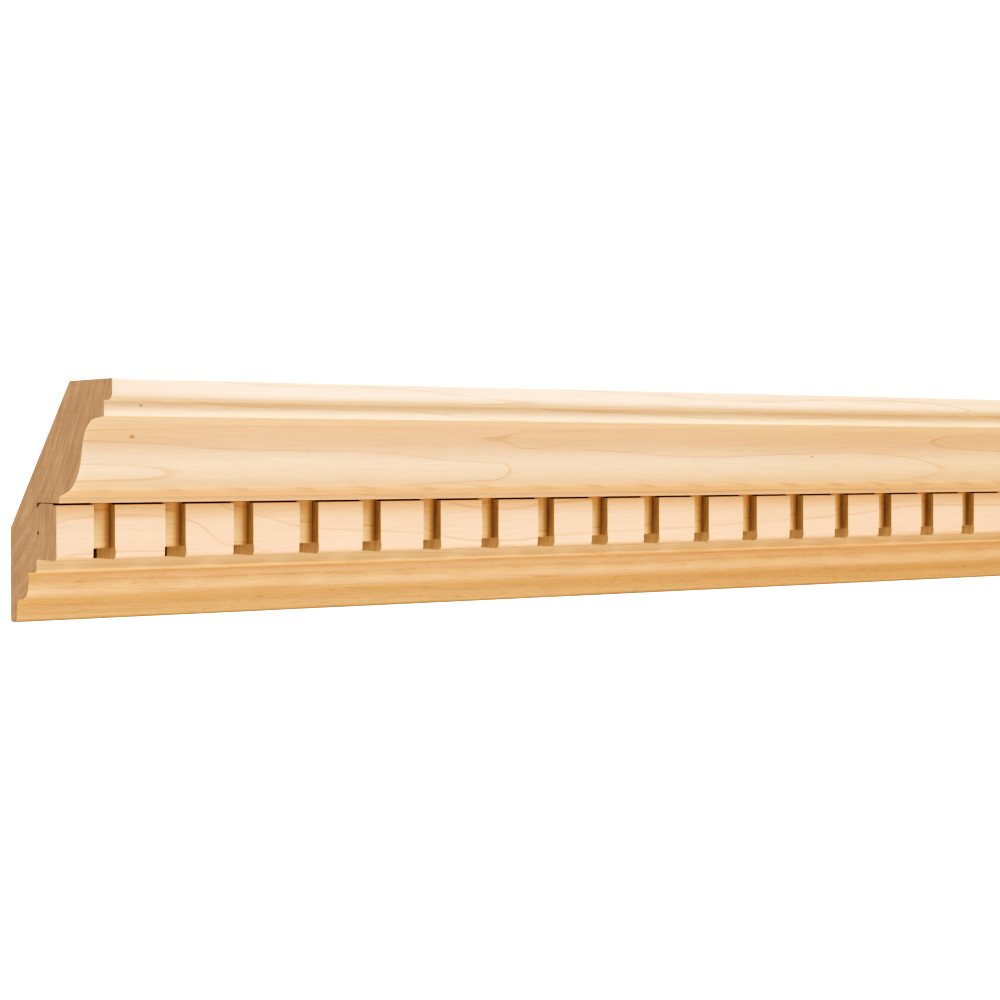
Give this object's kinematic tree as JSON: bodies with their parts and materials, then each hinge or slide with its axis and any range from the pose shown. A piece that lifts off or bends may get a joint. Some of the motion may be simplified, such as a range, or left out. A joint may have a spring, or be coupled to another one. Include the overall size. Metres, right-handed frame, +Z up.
{
  "type": "cornice moulding length",
  "caption": "Length of solid wood cornice moulding: sprung board with cove, ogee, lip and lower bead, and a notched dentil strip set under the lip; both ends sawn square.",
  "frame": {"origin": "middle of the flat back face that bears on the wall", "axes": "+X along the length, +Y into the wall, +Z up to the ceiling"},
  "size_m": [0.61, 0.0884, 0.089],
  "materials": {
    "maple_board": "planed and moulded maple, unfinished, brown sawn end grain",
    "maple_dentils": "planed maple strip, unfinished, sawn notches"
  },
  "bodies": {
    "root": {"crown_board": "maple_board", "dentil_strip": "maple_dentils"}
  },
  "joints": []
}
